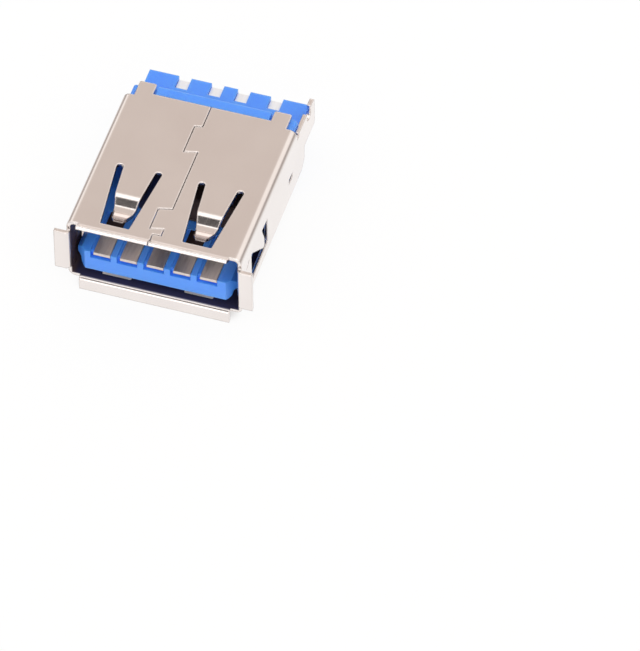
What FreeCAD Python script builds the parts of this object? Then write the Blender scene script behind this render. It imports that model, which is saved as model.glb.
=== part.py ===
import FreeCAD, Part
import math
import os
import re
import Sketcher
from FreeCAD import Vector

# A nine-contact receptacle for solder tails.
# A folded sheet shell with spring fingers and flared lips closes round one blue moulding.
# The moulding carries the tongue, four sprung contacts and five flat contacts.
# The frame's origin is the centre of the mouth, +X is right, +Y is rearward, +Z is up.

doc = FreeCAD.newDocument("socket")
sheet = doc.addObject("Spreadsheet::Sheet", "Sizes")

SIZES = [
    # the folded shell
    ("shell_width", 13.10), ("shell_height", 5.72), ("gauge", 0.30), ("fold_radius", 0.55),
    ("fold_length", 12.98), ("roof_run", 0.45), ("roof_half", 5.75),
    ("tab_inner", 4.47), ("tab_run", 1.44), ("tab_round", 0.15),
    # the seam along the roof, with its dovetail laps
    ("seam_gap", 0.07), ("seam_left", 0.62), ("seam_right", 0.38), ("seam_mid", 0.05),
    ("lap_rear", 11.30), ("lap_middle", 8.85), ("lap_front", 3.10), ("lap_mouth", 1.12),
    ("lap_flare", 0.12),
    # the windows in roof and floor, each with a sprung finger
    ("window_x", 3.08), ("window_front", 0.45), ("window_rear", 6.31),
    ("window_front_half", 1.08), ("window_rear_half", 1.735), ("slot_round", 0.255),
    ("finger_root_half", 1.21), ("finger_knee", 3.60), ("finger_knee_half", 0.96),
    ("finger_tip_half", 0.56), ("finger_tip", 1.25), ("knee_run", 0.12), ("knee_bend", 0.45),
    ("drop_run", 0.67), ("finger_drop", 0.56), ("valley_run", 1.25), ("finger_sag", 0.62),
    ("finger_rise", 0.08), ("finger_bend", 0.30),
    # the windows in the side walls, each with a leaf, and a nick before it
    ("side_front", 2.27), ("side_rear", 6.02), ("side_top", 1.02), ("side_bottom", -1.72),
    ("side_taper", 0.25), ("side_round", 0.15), ("leaf_front", 0.25), ("leaf_root", 2.20),
    ("leaf_tip", 2.95), ("leaf_drop", 2.38), ("leaf_end", 1.06), ("leaf_round", 0.20),
    ("nick_y", 1.46), ("nick_z", 0.82), ("nick_half", 0.30), ("nick_gap", 0.12),
    # the lips and flanges round the mouth
    ("lip_half", 5.65), ("lip_bend", 0.25), ("roof_lip_length", 0.62), ("roof_lip_rise", 0.36),
    ("floor_lip_offset", 0.25), ("floor_lip_drop", 0.86), ("floor_lip_bend", 0.24),
    ("flange_offset", 0.25), ("flange_out", 0.87), ("flange_half", 1.88), ("flange_bend", 0.24),
    # the right wall's rear end
    ("wall_run", 1.72), ("wall_foot", 0.65), ("ear_run", 2.50),
    ("ear_top", 2.08), ("ear_bottom", -0.49), ("ear_round", 0.30), ("ear_hole_run", 1.16),
    ("ear_hole_half", 0.46), ("relief_front", 0.14), ("relief_rear", 0.52),
    ("relief_depth", 1.80),
    ("barb_front", 11.02), ("barb_rear", 11.90), ("barb_mid", -0.55), ("barb_half", 0.24),
    # the moulding
    ("fit", 0.03), ("block_front", 9.00), ("block_rear", 14.25), ("block_round", 0.30),
    ("tongue_front", 0.08), ("tongue_gap", 0.55), ("tongue_top", -0.05),
    ("tongue_bottom", -1.89), ("tongue_round", 0.50), ("tongue_bevel", 0.42),
    ("rib_out", 0.32), ("rib_top", 0.42), ("rib_bottom", 0.95), ("rib_foot", 1.15),
    ("nose_in", 0.40), ("nose_back", 0.55), ("land_gap", 0.19), ("land_low", 0.02),
    ("comb_half", 6.22), ("comb_rear", 17.87), ("comb_top", 0.37), ("comb_bottom", -1.14),
    ("comb_groove_front", 16.70), ("comb_floor", -0.145),
    # the five flat contacts
    ("flat_spacing", 2.00), ("flat_half", 0.625), ("flat_gauge", 0.24), ("flat_rear", 4.20),
    ("flat_dip", 4.85), ("flat_run", -1.10), ("flat_end", 17.60), ("flat_bend", 0.25),
    ("recess_left", 0.88), ("recess_right", 0.66), ("recess_depth", 0.62), ("recess_back", 0.34),
    # the four sprung contacts
    ("spring_spacing", 2.50), ("spring_inner", 1.00), ("spring_half", 0.46),
    ("spring_gauge", 0.24), ("spring_end", 17.70), ("spring_root", 8.70),
    ("spring_crown_y", 6.60), ("spring_crown", 0.42), ("spring_tip_y", 5.30),
    ("spring_tip", -0.34), ("spring_bend", 0.35), ("groove_front", 5.05),
    ("groove_floor", -0.58), ("groove_half", 0.56),
]

for row, (name, value) in enumerate(SIZES, start=1):
    sheet.set("A%d" % row, name)
    sheet.set("B%d" % row, "%g" % value)
    sheet.setAlias("B%d" % row, name)
doc.recompute()


def bound(text):
    # turns bare size names into references to the sheet
    return re.sub(r"[a-z][a-z_]*", lambda word: "Sizes." + word.group(0), text)


def plane(body, role):
    for feature in body.Origin.OriginFeatures:
        if feature.Role == role:
            return feature
    raise RuntimeError("no plane " + role)


def new_body(label):
    body = doc.addObject("PartDesign::Body", label)
    body.Label = label
    doc.recompute()
    return body


def outline(body, name, role, corners, offset=None, closed=True):
    # a sketch whose corners lie at bound positions, rounded where a corner has a radius
    sketch = body.newObject("Sketcher::SketchObject", name)
    sketch.AttachmentSupport = [(plane(body, role), "")]
    sketch.MapMode = "FlatFace"
    if offset:
        sketch.setExpression(".AttachmentOffset.Base.z", bound(offset))
    count = len(corners)
    at = []
    radius = []
    for corner in corners:
        x = float(sketch.evalExpression(bound(corner[0])))
        y = float(sketch.evalExpression(bound(corner[1])))
        at.append(Vector(x, y, 0))
        radius.append(float(sketch.evalExpression(bound(corner[2]))) if len(corner) > 2 else 0)
    arrive = list(at)
    leave = list(at)
    centre = [None] * count
    for i in range(count):
        if radius[i]:
            back = (at[i - 1] - at[i]).normalize()
            ahead = (at[(i + 1) % count] - at[i]).normalize()
            half = back.getAngle(ahead) / 2
            arrive[i] = at[i] + back * (radius[i] / math.tan(half))
            leave[i] = at[i] + ahead * (radius[i] / math.tan(half))
            centre[i] = at[i] + (back + ahead).normalize() * (radius[i] / math.sin(half))
    for i in range(count if closed else count - 1):
        line = Part.LineSegment(leave[i], arrive[(i + 1) % count])
        sketch.addGeometry(line, False)
    for i in range(count):
        before = (i - 1) % count
        if centre[i]:
            point = sketch.addGeometry(Part.Point(at[i]), True)
            start = arrive[i] - centre[i]
            end = leave[i] - centre[i]
            first = math.atan2(start.y, start.x)
            last = math.atan2(end.y, end.x)
            clockwise = (last - first) % (2 * math.pi) > math.pi
            circle = Part.Circle(centre[i], Vector(0, 0, 1), radius[i])
            if clockwise:
                arc = sketch.addGeometry(Part.ArcOfCircle(circle, last, first), False)
            else:
                arc = sketch.addGeometry(Part.ArcOfCircle(circle, first, last), False)
            near, far = (2, 1) if clockwise else (1, 2)
            sketch.addConstraint(Sketcher.Constraint("Tangent", before, 2, arc, near))
            sketch.addConstraint(Sketcher.Constraint("Tangent", arc, far, i, 1))
            sketch.addConstraint(Sketcher.Constraint("PointOnObject", point, 1, before))
            sketch.addConstraint(Sketcher.Constraint("PointOnObject", point, 1, i))
            held = sketch.addConstraint(Sketcher.Constraint("Radius", arc, radius[i]))
            sketch.setExpression("Constraints[%d]" % held, bound(corners[i][2]))
            spot = (point, 1)
        elif closed or 0 < i < count - 1:
            sketch.addConstraint(Sketcher.Constraint("Coincident", before, 2, i, 1))
            spot = (i, 1)
        elif i == 0:
            spot = (0, 1)
        else:
            spot = (before, 2)
        for kind, value, text in (("DistanceX", at[i].x, corners[i][0]),
                                  ("DistanceY", at[i].y, corners[i][1])):
            held = sketch.addConstraint(Sketcher.Constraint(kind, -1, 1, spot[0], spot[1], value))
            sketch.setExpression("Constraints[%d]" % held, bound(text))
    return sketch


def pad(body, name, sketch, length, reverse=False, middle=False):
    feature = body.newObject("PartDesign::Pad", name)
    feature.Profile = sketch
    feature.setExpression("Length", bound(length))
    feature.SideType = "Symmetric" if middle else "One side"
    feature.Reversed = reverse
    return feature


def pocket(body, name, sketch, length, reverse=False, middle=False):
    feature = body.newObject("PartDesign::Pocket", name)
    feature.Profile = sketch
    feature.setExpression("Length", bound(length))
    feature.SideType = "Symmetric" if middle else "One side"
    feature.Reversed = reverse
    return feature


def sweep(body, name, kind, section, path):
    feature = body.newObject("PartDesign::" + kind, name)
    feature.Profile = section
    feature.Spine = (path, [])
    return feature


def rectangle(left, right, low, high):
    return [(left, low), (right, low), (right, high), (left, high)]


def mirror(body, name, features, role):
    feature = body.newObject("PartDesign::Mirrored", name)
    feature.Originals = features
    feature.MirrorPlane = (plane(body, role), [""])
    body.Tip = feature
    return feature


# the shell is one sheet folded into a ring
shell = new_body("shell")
W = "shell_width / 2"
T = "shell_height / 2"
ring = outline(shell, "ring_outside", "XZ_Plane", [
    ("-" + W, "-" + T, "fold_radius"), (W, "-" + T, "fold_radius"),
    (W, T, "fold_radius"), ("-" + W, T, "fold_radius")])
pad(shell, "ring", ring, "fold_length", reverse=True)
bore = outline(shell, "ring_inside", "XZ_Plane", [
    ("gauge - " + W, "gauge - " + T, "fold_radius - gauge"),
    (W + " - gauge", "gauge - " + T, "fold_radius - gauge"),
    (W + " - gauge", T + " - gauge", "fold_radius - gauge"),
    ("gauge - " + W, T + " - gauge", "fold_radius - gauge")])
pocket(shell, "ring_bore", bore, "fold_length")

# the roof runs on past the folds, with a tab at each side
roof_end = outline(shell, "roof_end", "XY_Plane", [
    ("-roof_half", "fold_length - 1"), ("roof_half", "fold_length - 1"),
    ("roof_half", "fold_length + tab_run", "tab_round"), ("tab_inner", "fold_length + tab_run", "tab_round"),
    ("tab_inner", "fold_length + roof_run"), ("-tab_inner", "fold_length + roof_run"),
    ("-tab_inner", "fold_length + tab_run", "tab_round"), ("-roof_half", "fold_length + tab_run", "tab_round")],
    offset=T)
pad(shell, "roof_tabs", roof_end, "gauge", reverse=True)
floor_end = outline(shell, "floor_end", "XY_Plane",
                    rectangle("-roof_half", "roof_half", "fold_length - 1", "fold_length + roof_run"),
                    offset="-" + T)
pad(shell, "floor_edge", floor_end, "gauge")

# the right wall runs on into an ear with a half hole in its upper edge
HOLE = "fold_length + wall_run + ear_hole_run"
ear = outline(shell, "ear_outline", "YZ_Plane", [
    ("fold_length - 1", "fold_radius - " + T),
    ("fold_length + wall_run - wall_foot", "fold_radius - " + T, "ear_round"),
    ("fold_length + wall_run", "fold_radius - " + T + " + wall_foot", "ear_round"),
    ("fold_length + wall_run", "ear_bottom"),
    ("fold_length + wall_run + ear_run", "ear_bottom", "ear_round"),
    ("fold_length + wall_run + ear_run", "ear_top", "ear_round"),
    (HOLE + " + ear_hole_half", "ear_top"),
    (HOLE + " + ear_hole_half", "ear_top - 2 * ear_hole_half", "ear_hole_half * 0.98"),
    (HOLE + " - ear_hole_half", "ear_top - 2 * ear_hole_half", "ear_hole_half * 0.98"),
    (HOLE + " - ear_hole_half", "ear_top"),
    ("fold_length + relief_rear", "ear_top"), ("fold_length + relief_rear", "relief_depth"),
    ("fold_length + relief_front", "relief_depth"),
    ("fold_length + relief_front", T + " - fold_radius"),
    ("fold_length - 1", T + " - fold_radius")], offset=W)
pad(shell, "ear", ear, "gauge", reverse=True)
barb = outline(shell, "barb_slot", "YZ_Plane", [
    ("barb_front", "barb_mid - barb_half", "barb_half / 2"),
    ("barb_rear", "barb_mid - barb_half", "barb_half / 2"),
    ("barb_rear", "barb_mid + barb_half", "barb_half / 2"),
    ("barb_front", "barb_mid + barb_half", "barb_half / 2")], offset=W)
pocket(shell, "barb", barb, "2 * shell_width", middle=True)

# the lip over the mouth, flared up, and the lip under it, turned down
roof_lip = outline(shell, "roof_lip_path", "YZ_Plane", [
    ("0.05", T + " - gauge / 2"), ("-lip_bend / 2", T + " - gauge / 2", "lip_bend"),
    ("-roof_lip_length", T + " - gauge / 2 + roof_lip_rise")], closed=False)
roof_lip_section = outline(shell, "roof_lip_section", "XZ_Plane",
                           rectangle("-lip_half", "lip_half", T + " - gauge", T), offset="-0.05")
sweep(shell, "roof_lip", "AdditivePipe", roof_lip_section, roof_lip)
floor_lip = outline(shell, "floor_lip_path", "YZ_Plane", [
    ("0.05", "gauge / 2 - " + T), ("-floor_lip_offset", "gauge / 2 - " + T, "floor_lip_bend"),
    ("-floor_lip_offset", "-floor_lip_drop - " + T)], closed=False)
floor_lip_section = outline(shell, "floor_lip_section", "XZ_Plane",
                            rectangle("-lip_half", "lip_half", "-" + T, "gauge - " + T),
                            offset="-0.05")
sweep(shell, "floor_lip", "AdditivePipe", floor_lip_section, floor_lip)

# the flanges turned out at each side of the mouth
flange = outline(shell, "flange_path", "XY_Plane", [
    (W + " - gauge / 2", "0.05"), (W + " - gauge / 2", "-flange_offset", "flange_bend"),
    (W + " + flange_out", "-flange_offset")], closed=False)
flange_section = outline(shell, "flange_section", "XZ_Plane",
                         rectangle(W + " - gauge", W, "-flange_half", "flange_half"),
                         offset="-0.05")
side_flange = sweep(shell, "flange", "AdditivePipe", flange_section, flange)
doc.recompute()
mirror(shell, "flange_pair", [side_flange], "YZ_Plane")

# the windows in roof and floor: each slot pair frees a tapered finger, bent down into the bore
window = outline(shell, "window_outline", "XY_Plane", [
    ("window_x - window_front_half", "window_front", "0.1"),
    ("window_x + window_front_half", "window_front", "0.1"),
    ("window_x + window_rear_half", "window_rear", "slot_round"),
    ("window_x + finger_root_half", "window_rear", "slot_round"),
    ("window_x + finger_knee_half", "finger_knee"),
    ("window_x - finger_knee_half", "finger_knee"),
    ("window_x - finger_root_half", "window_rear", "slot_round"),
    ("window_x - window_rear_half", "window_rear", "slot_round")], offset=T)
window_cut = pocket(shell, "window", window, "gauge")
finger = outline(shell, "finger_path", "YZ_Plane", [
    ("finger_knee + 0.1", T + " - gauge / 2"),
    ("finger_knee - knee_run", T + " - gauge / 2", "knee_bend"),
    ("finger_knee - drop_run", T + " - gauge / 2 - finger_drop", "finger_bend"),
    ("finger_knee - valley_run", T + " - gauge / 2 - finger_sag", "finger_bend"),
    ("finger_tip", T + " - gauge / 2 - finger_rise")], offset="window_x", closed=False)
finger_section = outline(shell, "finger_section", "XZ_Plane",
                         rectangle("window_x - finger_knee_half", "window_x + finger_knee_half",
                                   T + " - gauge", T), offset="-finger_knee - 0.1")
finger_strip = sweep(shell, "finger", "AdditivePipe", finger_section, finger)
trims = []
for side, sign in (("left", "-"), ("right", "+")):
    trim = outline(shell, "finger_trim_" + side, "XY_Plane", [
        ("window_x %s finger_knee_half" % sign, "finger_knee"),
        ("window_x %s finger_tip_half" % sign, "finger_tip + 0.25"),
        ("window_x %s finger_tip_half / 2" % sign, "finger_tip - 0.15"),
        ("window_x %s window_front_half" % sign, "finger_tip - 0.15")], offset=T + " + gauge")
    trims.append(pocket(shell, "trim_" + side, trim, "4 * gauge + finger_sag"))
doc.recompute()
leaf = [window_cut, finger_strip] + trims
spring_set = shell.newObject("PartDesign::MultiTransform", "windows_floor")
across = shell.newObject("PartDesign::Mirrored", "across")
across.MirrorPlane = (plane(shell, "YZ_Plane"), [""])
down = shell.newObject("PartDesign::Mirrored", "down")
down.MirrorPlane = (plane(shell, "XY_Plane"), [""])
spring_set.Originals = leaf
spring_set.Transformations = [across, down]
shell.Tip = spring_set
doc.recompute()

# the windows in the side walls, each with a leaf left standing at its upper edge
side_window = outline(shell, "side_window", "YZ_Plane", [
    ("side_front", "side_bottom", "side_round"),
    ("side_rear", "side_bottom + side_taper", "side_round"),
    ("side_rear", "side_top - side_taper / 2", "side_round"),
    ("side_front + leaf_front + leaf_root", "side_top - side_taper / 4"),
    ("side_front + leaf_tip", "side_top - leaf_drop + leaf_end"),
    ("side_front + leaf_tip + 0.04", "side_top - leaf_drop - 0.02", "leaf_round"),
    ("side_front + leaf_front", "side_top - 0.08"),
    ("side_front", "side_top", "side_round")], offset=W)
side_cut = pocket(shell, "side_opening", side_window, "gauge")
nick = outline(shell, "nick_outline", "YZ_Plane", [
    ("nick_y - nick_half", "nick_z - nick_half / 2 - nick_gap / 2"),
    ("nick_y + nick_half", "nick_z + nick_half / 2 - nick_gap / 2"),
    ("nick_y + nick_half", "nick_z + nick_half / 2 + nick_gap / 2"),
    ("nick_y - nick_half", "nick_z - nick_half / 2 + nick_gap / 2")], offset=W)
nick_cut = pocket(shell, "nick", nick, "gauge")
doc.recompute()
mirror(shell, "side_pair", [side_cut, nick_cut], "YZ_Plane")
doc.recompute()

# the seam: a hairline that steps from side to side in dovetail laps
seam_line = [
    ("-seam_mid", "fold_length + tab_run + 1", 1, 0), ("-seam_mid", "lap_rear + lap_flare", 1, -1),
    ("-seam_left", "lap_rear", 1, -1), ("-seam_left", "lap_middle - lap_flare", 1, 1),
    ("seam_right", "lap_middle + lap_flare", 1, 1), ("seam_right", "lap_front + lap_flare", 1, -1),
    ("-seam_left", "lap_front - lap_flare", 1, -1), ("-seam_left", "lap_mouth - lap_flare", 1, 1),
    ("seam_right", "lap_mouth + lap_flare", 1, 1), ("seam_right", "0.56", 1, -1),
    ("-seam_mid * 5", "0.52", 1, -1), ("-seam_mid * 5", "-roof_lip_length - 1", 1, 0)]
right_side = []
left_side = []
for x, y, along, turn in seam_line:
    right_side.append((x + " + seam_gap / 2", y + " + %d * seam_gap / 2" % turn))
    left_side.append((x + " - seam_gap / 2", y + " - %d * seam_gap / 2" % turn))
seam = outline(shell, "seam_outline", "XY_Plane", right_side + left_side[::-1], offset=T + " + 1")
pocket(shell, "seam", seam, "gauge + 1.2")
doc.recompute()

# the moulding holds tongue, block and comb in one piece
insulator = new_body("insulator")
block = outline(insulator, "block_outline", "XZ_Plane", [
    ("gauge + fit - " + W, "gauge + fit - " + T, "block_round"),
    (W + " - gauge - fit", "gauge + fit - " + T, "block_round"),
    (W + " - gauge - fit", T + " - gauge - fit", "block_round"),
    ("gauge + fit - " + W, T + " - gauge - fit", "block_round")], offset="-block_front")
pad(insulator, "block", block, "block_rear - block_front", reverse=True)
HALF = "(shell_width / 2 - gauge - tongue_gap)"
tongue = outline(insulator, "tongue_outline", "XZ_Plane", [
    ("-" + HALF, "tongue_bottom", "tongue_round"), (HALF, "tongue_bottom", "tongue_round"),
    (HALF, "tongue_top - rib_foot"), (HALF + " + rib_out", "tongue_top - rib_bottom"),
    (HALF + " + rib_out", "tongue_top - rib_top"),
    (HALF + " + rib_out - tongue_bevel", "tongue_top"),
    ("tongue_bevel - rib_out - " + HALF, "tongue_top"),
    ("-rib_out - " + HALF, "tongue_top - rib_top"),
    ("-rib_out - " + HALF, "tongue_top - rib_bottom"), ("-" + HALF, "tongue_top - rib_foot")],
    offset="-tongue_front")
pad(insulator, "tongue", tongue, "block_front - tongue_front + 0.5", reverse=True)
comb = outline(insulator, "comb_outline", "XZ_Plane",
               rectangle("-comb_half", "comb_half", "comb_bottom", "comb_top"),
               offset="-block_rear + 0.5")
pad(insulator, "comb", comb, "comb_rear - block_rear + 0.5", reverse=True)
doc.recompute()

# the tongue's front corners are rounded in plan
for side, sign in (("left", "-"), ("right", "")):
    inner = sign + "(" + HALF + " - nose_in)"
    outer = sign + "(" + HALF + " + rib_out + 0.2)"
    nose = outline(insulator, "nose_" + side, "XY_Plane", [
        (inner, "tongue_front - 0.2"), (outer, "tongue_front - 0.2"),
        (outer, "tongue_front + nose_back * 1.5"),
        (sign + "(" + HALF + " + rib_out / 2)", "tongue_front + nose_back", "0.3"),
        (inner, "tongue_front", "0.1")], offset="tongue_top + 0.2")
    pocket(insulator, "nose_cut_" + side, nose, "tongue_top - tongue_bottom + 0.4")
doc.recompute()

# between the tabs the block stands up to the roof's level
land = outline(insulator, "land_outline", "XY_Plane",
               rectangle("land_gap - tab_inner", "tab_inner - land_gap", "fold_length + roof_run + fit",
                         "block_rear"), offset=T + " - gauge - fit - 0.2")
pad(insulator, "land", land, "gauge + fit + 0.2 - land_low")
doc.recompute()

# a recess in the tongue's top and front for each flat contact, and a tunnel back to the tails
FLAT = [-2, -1, 0, 1, 2]
SPRING = [("-spring_inner - spring_spacing"), ("-spring_inner"), ("spring_inner"),
          ("spring_inner + spring_spacing")]


def flat_path(body, x):
    return outline(body, "flat_path", "YZ_Plane", [
        ("tongue_front", "tongue_top - flat_gauge / 2"),
        ("flat_rear", "tongue_top - flat_gauge / 2", "flat_bend"),
        ("flat_dip", "flat_run", "flat_bend"), ("flat_end", "flat_run")], offset=x, closed=False)


def flat_section(body, x, margin):
    return outline(body, "flat_section", "XZ_Plane",
                   rectangle(x + " - flat_half - " + margin, x + " + flat_half + " + margin,
                             "tongue_top - flat_gauge - " + margin, "tongue_top + " + margin),
                   offset="-tongue_front")


x = "-2 * flat_spacing"
flat_cuts = [sweep(insulator, "tunnel", "SubtractivePipe", flat_section(insulator, x, "0.01"),
                   flat_path(insulator, x))]
recess = outline(insulator, "recess_outline", "XZ_Plane",
                 rectangle(x + " - recess_left", x + " + recess_right",
                           "tongue_top - recess_depth", "tongue_top + 0.1"),
                 offset="0.1 - tongue_front")
flat_cuts.append(pocket(insulator, "recess", recess, "0.1 + recess_back"))
trough = outline(insulator, "trough_outline", "XZ_Plane",
                 rectangle(x + " - recess_left", x + " + recess_right",
                           "tongue_top - flat_gauge / 2", "tongue_top + 0.1"),
                 offset="0.1 - tongue_front")
flat_cuts.append(pocket(insulator, "trough", trough, "flat_rear - tongue_front + 0.1"))
tail_slot = outline(insulator, "tail_slot_outline", "XZ_Plane",
                    rectangle(x + " - flat_half - 0.01", x + " + flat_half + 0.01",
                              "comb_bottom - 0.1", "flat_run + flat_gauge / 2 + 0.01"),
                    offset="-block_rear - 0.01")
flat_cuts.append(pocket(insulator, "tail_slot", tail_slot, "comb_rear - block_rear + 0.1"))
doc.recompute()
rows = insulator.newObject("PartDesign::LinearPattern", "flat_cuts")
rows.Originals = flat_cuts
rows.Direction = (plane(insulator, "X_Axis"), [""])
rows.setExpression("Length", "4 * Sizes.flat_spacing")
rows.Occurrences = 5
insulator.Tip = rows
doc.recompute()

# a groove in the tongue, a tunnel through the block and a groove in the comb for each spring
spring_cuts = []
for number, x in enumerate(SPRING[2:], start=1):
    groove = outline(insulator, "groove_outline_%d" % number, "XZ_Plane",
                     rectangle(x + " - groove_half", x + " + groove_half", "groove_floor",
                               "spring_gauge / 2 + 0.02"), offset="-groove_front")
    spring_cuts.append(pocket(insulator, "groove_%d" % number, groove,
                              "block_front - groove_front"))
    tunnel = outline(insulator, "spring_tunnel_outline_%d" % number, "XZ_Plane",
                     rectangle(x + " - spring_half - 0.02", x + " + spring_half + 0.02",
                               "-spring_gauge / 2 - 0.02", "spring_gauge / 2 + 0.02"),
                     offset="0.3 - block_front")
    spring_cuts.append(pocket(insulator, "spring_tunnel_%d" % number, tunnel,
                              "comb_rear - block_front + 0.5"))
    comb_groove = outline(insulator, "comb_groove_outline_%d" % number, "XZ_Plane",
                          rectangle(x + " - spring_half - 0.02", x + " + spring_half + 0.02",
                                    "comb_floor", "comb_top + 0.1"), offset="-comb_groove_front")
    spring_cuts.append(pocket(insulator, "comb_groove_%d" % number, comb_groove, "comb_rear"))
doc.recompute()
mirror(insulator, "spring_cuts", spring_cuts, "YZ_Plane")
doc.recompute()

# the contacts are bent strips
pieces = [shell, insulator]
for k in FLAT:
    body = new_body("flat_contact_%d" % (k + 3))
    x = "%d * flat_spacing" % k
    sweep(body, "strip", "AdditivePipe", flat_section(body, x, "0.0"), flat_path(body, x))
    pieces.append(body)
for number, x in enumerate(SPRING, start=1):
    body = new_body("spring_contact_%d" % number)
    path = outline(body, "spring_path", "YZ_Plane", [
        ("spring_end", "0.0"), ("spring_root", "0.0", "spring_bend"),
        ("spring_crown_y", "spring_crown", "spring_bend"),
        ("spring_tip_y", "spring_tip")], offset=x, closed=False)
    section = outline(body, "spring_section", "XZ_Plane",
                      rectangle(x + " - spring_half", x + " + spring_half",
                                "-spring_gauge / 2", "spring_gauge / 2"), offset="-spring_end")
    sweep(body, "strip", "AdditivePipe", section, path)
    pieces.append(body)
doc.recompute()

# every object must be sound before anything is written
for item in doc.Objects:
    if "Invalid" in item.State or "Error" in item.State:
        raise RuntimeError("%s (%s) did not build: %s" % (item.Name, item.Label, item.State))
os.makedirs("parts", exist_ok=True)
for body in pieces:
    if body.Shape.isNull() or not body.Shape.isValid() or len(body.Shape.Solids) != 1:
        raise RuntimeError("%s is not one sound solid" % body.Label)
    body.Shape.exportStep("parts/%s.step" % body.Label)
    box = body.Shape.BoundBox
    print("%-18s %9.3f mm3  X %.2f %.2f  Y %.2f %.2f  Z %.2f %.2f" % (
        body.Label, body.Shape.Volume, box.XMin, box.XMax, box.YMin, box.YMax, box.ZMin, box.ZMax))
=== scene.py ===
import math

import bpy
from mathutils import Matrix, Vector


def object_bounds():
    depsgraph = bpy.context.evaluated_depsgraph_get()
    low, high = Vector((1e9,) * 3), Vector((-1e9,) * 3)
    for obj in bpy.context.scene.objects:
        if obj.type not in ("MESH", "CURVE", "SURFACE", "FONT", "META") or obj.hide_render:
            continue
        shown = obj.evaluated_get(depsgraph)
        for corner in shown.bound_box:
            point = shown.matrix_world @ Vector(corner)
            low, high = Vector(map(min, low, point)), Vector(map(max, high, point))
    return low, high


MM = 0.001

# rounding of the edges, in mm: the sheet's sheared edges, and the moulding's and contacts' edges
SHEET_EDGE = 0.17
SMALL_EDGE = 0.08

# colours
NICKEL = ((0.86, 0.795, 0.765), (0.90, 0.84, 0.81))
# painted shade on the curled tips of the roof's spring fingers
FINGER_TIP_SHADE = (0.46, 0.39, 0.37)
# painted shade for the bore: its left wall and its floor
BORE_WALL_SHADE = (0.075, 0.050, 0.055)
BORE_FLOOR_SHADE = (0.040, 0.038, 0.085)
BLUE = ((0.055, 0.28, 0.98), (0.07, 0.31, 1.0))
# painted shade in the moulding's pockets
POCKET_SHADE = (0.03, 0.035, 0.10)
DEEP_SHADE = (0.085, 0.055, 0.055)
PAD = ((0.70, 0.61, 0.57), (0.83, 0.75, 0.70))
TIN = ((0.90, 0.89, 0.85), (0.96, 0.95, 0.92))
WHITE = (1, 1, 1)
# grey at the left and right: light from the room's sides, and a painted reflection on the floor
SIDE_GREY = (0.42, 0.38, 0.36)

# the world's light, as colour and strength in one
TENT = (1.03, 0.985, 0.95)
TENT_TOP = (1.42, 1.40, 1.38)
TENT_BACK = (0.69, 0.615, 0.57)
FRONT_BOX = (2.1, 2.1, 2.1)
VIEWER = (0.05, 0.045, 0.045)

# places on the object in mm: centre, half size and soft rim along one axis
BORE_X = (0, 6.26, 0.06)
BORE_Y = (6.0, 6.8, 0.2)
BORE_Z = (-0.10, 2.465, 0.055)
FINGER_X = (3.08, 1.03, 0.03)
FINGER_Y = (2.45, 1.30, 0.06)
TIP_Y = (1.35, 0.25, 0.13)
TIP_Z = (2.5, 0.60, 0.05)
POCKETS_X = (0, 4.3, 0.2)
POCKETS_Y = (7.1, 1.9, 0.2)
POCKETS_Z = (0, 1.0, 0.1)
TONGUE_DEEP_X = (4.4, 6.0, 1.0)
TONGUE_DEEP_Y = (8.4, 4.1, 0.5)
TONGUE_DEEP_Z = (2.1, 1.6, 0.1)
CONTACT_DEEP_X = (0, 6.0, 1.0)
CONTACT_DEEP_Y = (7.4, 5.1, 0.5)
CONTACT_DEEP_Z = (1.4, 1.6, 0.1)
UNDER_X = (0, 4.9, 1.3)
UNDER_Y = (6.8, 6.4, 0.6)
BORE_WALL_START = (-5.9, -6.2)
# where the floor's painted grey reflection begins and where it is full, in mm from the middle
SIDE_GREY_START = (9, 26)

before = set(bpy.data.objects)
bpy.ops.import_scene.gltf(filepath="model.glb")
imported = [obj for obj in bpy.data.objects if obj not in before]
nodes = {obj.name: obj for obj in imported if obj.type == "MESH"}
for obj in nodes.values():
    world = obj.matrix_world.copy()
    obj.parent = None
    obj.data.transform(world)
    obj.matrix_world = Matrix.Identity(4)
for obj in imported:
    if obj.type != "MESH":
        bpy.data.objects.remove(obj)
cad_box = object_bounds()


# shader helpers: each adds nodes to the tree and returns the socket with the result
def new_material(name):
    mat = bpy.data.materials.new(name)
    mat.use_nodes = True
    tree = mat.node_tree
    tree.nodes.clear()
    out = tree.nodes.new("ShaderNodeOutputMaterial")
    bsdf = tree.nodes.new("ShaderNodeBsdfPrincipled")
    tree.links.new(bsdf.outputs[0], out.inputs[0])
    return mat, tree, bsdf


def compute(tree, operation, *values):
    node = tree.nodes.new("ShaderNodeMath")
    node.operation = operation
    for socket, value in zip(node.inputs, values):
        if isinstance(value, (int, float)):
            socket.default_value = value
        else:
            tree.links.new(value, socket)
    return node.outputs[0]


def ramp(tree, value, start, end, low=0.0, high=1.0, kind="LINEAR"):
    # low where the value is at start, high where it is at end, and held beyond both
    node = tree.nodes.new("ShaderNodeMapRange")
    node.interpolation_type = kind
    for name, number in zip(("From Min", "From Max", "To Min", "To Max"), (start, end, low, high)):
        node.inputs[name].default_value = number
    tree.links.new(value, node.inputs["Value"])
    return node.outputs[0]


def layer(tree, base, cover, mask):
    # the base colour, with the cover's colour over it where the mask is 1
    node = tree.nodes.new("ShaderNodeMix")
    node.data_type = "RGBA"
    for name, colour in (("A", base), ("B", cover)):
        if isinstance(colour, tuple):
            node.inputs[name].default_value = (*colour, 1)
        else:
            tree.links.new(colour, node.inputs[name])
    tree.links.new(mask, node.inputs["Factor"])
    return node.outputs["Result"]


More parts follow.
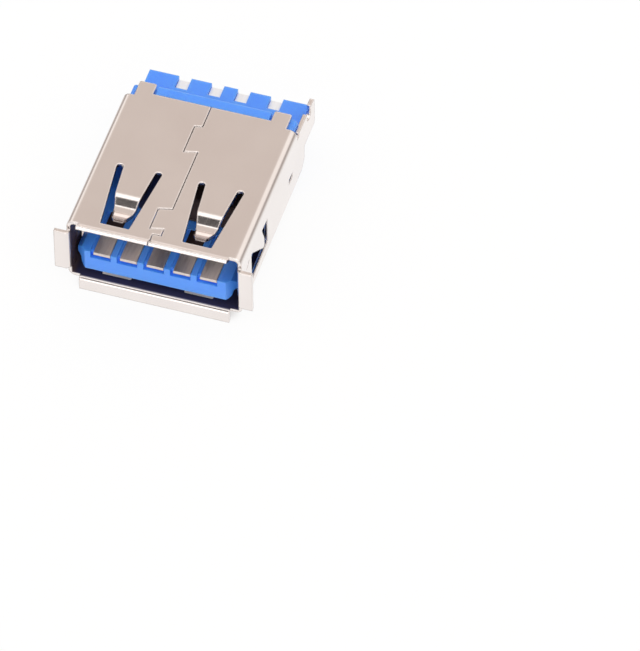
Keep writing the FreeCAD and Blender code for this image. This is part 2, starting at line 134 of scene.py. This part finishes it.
def noise(tree, scale, stretch, detail, rough):
    coord = tree.nodes.new("ShaderNodeTexCoord")
    place = tree.nodes.new("ShaderNodeMapping")
    place.inputs["Scale"].default_value = stretch
    tree.links.new(coord.outputs["Object"], place.inputs["Vector"])
    node = tree.nodes.new("ShaderNodeTexNoise")
    node.inputs["Scale"].default_value = scale
    node.inputs["Detail"].default_value = detail
    node.inputs["Roughness"].default_value = rough
    tree.links.new(place.outputs[0], node.inputs["Vector"])
    return node.outputs["Fac"]


def spread(tree, value, low=0.0, high=1.0):
    # noise keeps near its middle, so its range there is stretched to the whole
    return ramp(tree, value, 0.3, 0.7, low, high)


def bump(tree, bsdf, height, strength, depth, edge):
    node = tree.nodes.new("ShaderNodeBump")
    node.inputs["Strength"].default_value = strength
    node.inputs["Distance"].default_value = depth * MM
    tree.links.new(height, node.inputs["Height"])
    rim = tree.nodes.new("ShaderNodeBevel")
    rim.samples = 6
    rim.inputs["Radius"].default_value = edge * MM
    tree.links.new(rim.outputs[0], node.inputs["Normal"])
    tree.links.new(node.outputs[0], bsdf.inputs["Normal"])


def band(tree, value, inner, outer):
    # 1 where the value's size is under inner, falling to 0 at outer
    return ramp(tree, compute(tree, "ABSOLUTE", value), inner, outer, 1.0, 0.0)


def object_axes(tree):
    coord = tree.nodes.new("ShaderNodeTexCoord")
    split = tree.nodes.new("ShaderNodeSeparateXYZ")
    tree.links.new(coord.outputs["Object"], split.inputs[0])
    return split.outputs["X"], split.outputs["Y"], split.outputs["Z"]


def region(tree, x, y, z=None, mirrored=False):
    # 1 in the place on the object that the sides give, and in its mirror image on the other side
    axes = list(object_axes(tree))
    if mirrored:
        axes[0] = compute(tree, "ABSOLUTE", axes[0])
    mask = None
    for axis, side in zip(axes, (x, y, z)):
        if side is None:
            continue
        centre, half, soft = side
        part = band(tree, compute(tree, "ADD", axis, -centre * MM), half * MM, (half + soft) * MM)
        mask = part if mask is None else compute(tree, "MULTIPLY", mask, part)
    return mask


def nickel():
    # rolled steel under a satin nickel plate, its grain along the shell
    mat, tree, bsdf = new_material("nickel_plate")
    grain = noise(tree, 1.0, (9000, 500, 9000), 4.0, 0.6)
    cloud = noise(tree, 260, (1, 1, 1), 3.0, 0.55)
    colour = layer(tree, *NICKEL, spread(tree, cloud))
    # painted shade on the spring fingers' curled tips
    colour = layer(tree, colour, FINGER_TIP_SHADE, region(tree, FINGER_X, TIP_Y, TIP_Z, mirrored=True))
    # painted shade in the bore: brown on the left wall, navy on the floor, and without much gloss
    start, end = BORE_WALL_START
    wall = ramp(tree, object_axes(tree)[0], start * MM, end * MM)
    fingers = region(tree, FINGER_X, FINGER_Y, mirrored=True)
    bore = compute(tree, "MULTIPLY", region(tree, BORE_X, BORE_Y, BORE_Z),
                   compute(tree, "SUBTRACT", 1.0, fingers))
    colour = layer(tree, colour, layer(tree, BORE_FLOOR_SHADE, BORE_WALL_SHADE, wall), bore)
    tree.links.new(colour, bsdf.inputs["Base Color"])
    tree.links.new(ramp(tree, bore, 0, 1, 1.0, 0.1), bsdf.inputs["Metallic"])
    tree.links.new(ramp(tree, bore, 0, 1, 0.5, 0.1), bsdf.inputs["Specular IOR Level"])
    tree.links.new(spread(tree, grain, 0.13, 0.19), bsdf.inputs["Roughness"])
    bump(tree, bsdf, grain, 0.08, 0.002, SHEET_EDGE)
    return mat


def blue_plastic():
    # moulded thermoplastic with a fine spark-eroded skin, with painted shade in its pockets and far
    # under the roof
    mat, tree, bsdf = new_material("blue_moulding")
    skin = noise(tree, 9000, (1, 1, 1), 2.0, 0.6)
    flow = noise(tree, 420, (1, 0.4, 1), 3.0, 0.5)
    colour = layer(tree, *BLUE, spread(tree, flow))
    # painted shade in the pockets, and far under the roof on the tongue
    colour = layer(tree, colour, POCKET_SHADE, region(tree, POCKETS_X, POCKETS_Y, POCKETS_Z))
    colour = layer(tree, colour, DEEP_SHADE,
                   region(tree, TONGUE_DEEP_X, TONGUE_DEEP_Y, TONGUE_DEEP_Z))
    tree.links.new(colour, bsdf.inputs["Base Color"])
    bsdf.inputs["IOR"].default_value = 1.5
    bsdf.inputs["Specular IOR Level"].default_value = 0.9
    bsdf.inputs["Subsurface Weight"].default_value = 0.4
    bsdf.inputs["Subsurface Radius"].default_value = (0.7, 0.7, 0.7)
    bsdf.inputs["Subsurface Scale"].default_value = 1.2 * MM
    tree.links.new(spread(tree, skin, 0.34, 0.46), bsdf.inputs["Roughness"])
    bump(tree, bsdf, skin, 0.15, 0.004, SMALL_EDGE)
    return mat


def plated(name, tones, smooth, rough, metal):
    # a plated strip, darker behind the mouth, where little light comes in
    mat, tree, bsdf = new_material(name)
    grain = noise(tree, 1.0, (6000, 700, 6000), 3.0, 0.6)
    colour = layer(tree, *tones, spread(tree, grain))
    colour = layer(tree, colour, DEEP_SHADE,
                   region(tree, CONTACT_DEEP_X, CONTACT_DEEP_Y, CONTACT_DEEP_Z))
    tree.links.new(colour, bsdf.inputs["Base Color"])
    bsdf.inputs["Metallic"].default_value = metal
    tree.links.new(spread(tree, grain, smooth, rough), bsdf.inputs["Roughness"])
    bump(tree, bsdf, grain, 0.15, 0.003, SMALL_EDGE)
    return mat


looks = {
    "shell": nickel(),
    "insulator": blue_plastic(),
    "flat": plated("pad_plate", PAD, 0.34, 0.46, 1.0),
    "spring": plated("tin_plate", TIN, 0.45, 0.60, 0.4),
}
for name, obj in nodes.items():
    for slot in obj.material_slots:
        slot.material = looks[name.split("_")[0]]


# the floor: white to the camera and in reflections, with the part's shadow on it
FLOOR_SIZE = 4.0
FLOOR_GAP = 0.02
bpy.ops.mesh.primitive_plane_add(size=FLOOR_SIZE, location=(0, 0, cad_box[0][2] - FLOOR_GAP * MM))
floor = bpy.context.object
floor.name = "floor"
floor_mat, tree, bsdf = new_material("pale_floor")
bsdf.inputs["Base Color"].default_value = (0.95, 0.95, 0.95, 1)
bsdf.inputs["Roughness"].default_value = 0.9
bsdf.inputs["Specular IOR Level"].default_value = 0.1
glow = tree.nodes.new("ShaderNodeEmission")
glow.inputs["Strength"].default_value = 1.0
rays = tree.nodes.new("ShaderNodeLightPath")
mirrored = rays.outputs["Is Glossy Ray"]
# painted reflection: far to the left and right the floor shows grey, to reflections only, for what the
# shell's folds mirror
start, end = SIDE_GREY_START
reflected_grey = ramp(tree, compute(tree, "ABSOLUTE", object_axes(tree)[0]), start * MM, end * MM)
reflected_grey = compute(tree, "MULTIPLY", reflected_grey, mirrored)
tree.links.new(layer(tree, WHITE, SIDE_GREY, reflected_grey), glow.inputs["Color"])
# the ground close under the part lies in its shadow
share = ramp(tree, region(tree, UNDER_X, UNDER_Y), 0, 1, 0.90, 0.12)
seen = compute(tree, "MAXIMUM", rays.outputs["Is Camera Ray"], mirrored)
blend = tree.nodes.new("ShaderNodeMixShader")
tree.links.new(compute(tree, "MULTIPLY", seen, share), blend.inputs["Fac"])
tree.links.new(bsdf.outputs[0], blend.inputs[1])
tree.links.new(glow.outputs[0], blend.inputs[2])
surface = next(node for node in tree.nodes if node.type == "OUTPUT_MATERIAL")
tree.links.new(blend.outputs[0], surface.inputs[0])
floor.data.materials.append(floor_mat)

# the room: a pale tent that the camera sees as white
world = bpy.data.worlds.new("soft_room")
bpy.context.scene.world = world
world.use_nodes = True
tree = world.node_tree
tree.nodes.clear()
coord = tree.nodes.new("ShaderNodeTexCoord")
split = tree.nodes.new("ShaderNodeSeparateXYZ")
tree.links.new(coord.outputs["Generated"], split.inputs[0])


def toward(direction, near, far):
    # 1 for rays within near degrees of the direction, falling to 0 at far degrees
    dot = tree.nodes.new("ShaderNodeVectorMath")
    dot.operation = "DOT_PRODUCT"
    dot.inputs[1].default_value = Vector(direction).normalized()
    tree.links.new(coord.outputs["Generated"], dot.inputs[0])
    return ramp(tree, dot.outputs["Value"], math.cos(math.radians(far)),
                math.cos(math.radians(near)), kind="SMOOTHSTEP")


# brighter above the front, greyer high at the back, a bright box low in front, dark where the
# viewer stands, and grey along the horizon at the left and right
light = layer(tree, TENT, TENT_TOP, toward((0.10, -0.50, 0.86), 30, 62))
light = layer(tree, light, TENT_BACK, toward((-0.21, 0.63, 0.75), 9, 27))
light = layer(tree, light, FRONT_BOX, toward((0.05, -0.95, 0.31), 12, 27))
light = layer(tree, light, VIEWER, toward((-0.10, -0.72, 0.66), 9, 22))
aside = ramp(tree, compute(tree, "ABSOLUTE", split.outputs["X"]), 0.3, 0.5)
level = band(tree, split.outputs["Z"], 0.12, 0.30)
light = layer(tree, light, SIDE_GREY, compute(tree, "MULTIPLY", level, aside))

white = tree.nodes.new("ShaderNodeBackground")
white.inputs["Color"].default_value = (*WHITE, 1)
room = tree.nodes.new("ShaderNodeBackground")
tree.links.new(light, room.inputs["Color"])
rays = tree.nodes.new("ShaderNodeLightPath")
mix = tree.nodes.new("ShaderNodeMixShader")
tree.links.new(rays.outputs["Is Camera Ray"], mix.inputs["Fac"])
tree.links.new(room.outputs[0], mix.inputs[1])
tree.links.new(white.outputs[0], mix.inputs[2])
out = tree.nodes.new("ShaderNodeOutputWorld")
tree.links.new(mix.outputs[0], out.inputs[0])

# the camera, fitted to the photograph: a long lens looking down on the mouth's right side.
# FOCAL and ANCHOR are in pixels, RANGE and TOP in mm. ANCHOR is where the shell's upper face,
# at the height TOP, meets the mouth's plane in its middle.
AZIMUTH = math.radians(18.188)
ELEVATION = math.radians(48.698)
ROLL = math.radians(0.864)
FOCAL = 8886.1
RANGE = 631.43
ANCHOR = (153.515, 240.198)
FRAME_SIZE = (640, 651)
TOP = 2.86

right = Vector((math.cos(AZIMUTH), math.sin(AZIMUTH), 0))
ahead = Vector((-math.sin(AZIMUTH) * math.cos(ELEVATION),
                math.cos(AZIMUTH) * math.cos(ELEVATION), -math.sin(ELEVATION)))
down = ahead.cross(right)
row_x = math.cos(ROLL) * right + math.sin(ROLL) * down
row_y = -math.sin(ROLL) * right + math.cos(ROLL) * down
over_x = (ANCHOR[0] - FRAME_SIZE[0] / 2) * RANGE / FOCAL
over_y = (ANCHOR[1] - FRAME_SIZE[1] / 2) * RANGE / FOCAL
eye = Vector((0, 0, TOP)) - row_x * over_x - row_y * over_y - ahead * RANGE

camera = bpy.data.cameras.new("camera")
camera.sensor_width = 36.0
camera.lens = FOCAL * camera.sensor_width / max(FRAME_SIZE)
camera.clip_start = 0.01
camera.clip_end = 10.0
camera.dof.use_dof = False
viewer = bpy.data.objects.new("camera", camera)
scene = bpy.context.scene
scene.collection.objects.link(viewer)
turn = Matrix((row_x, -row_y, -ahead)).transposed().to_4x4()
viewer.matrix_world = Matrix.Translation(eye * MM) @ turn
scene.camera = viewer
scene.view_settings.view_transform = "Standard"
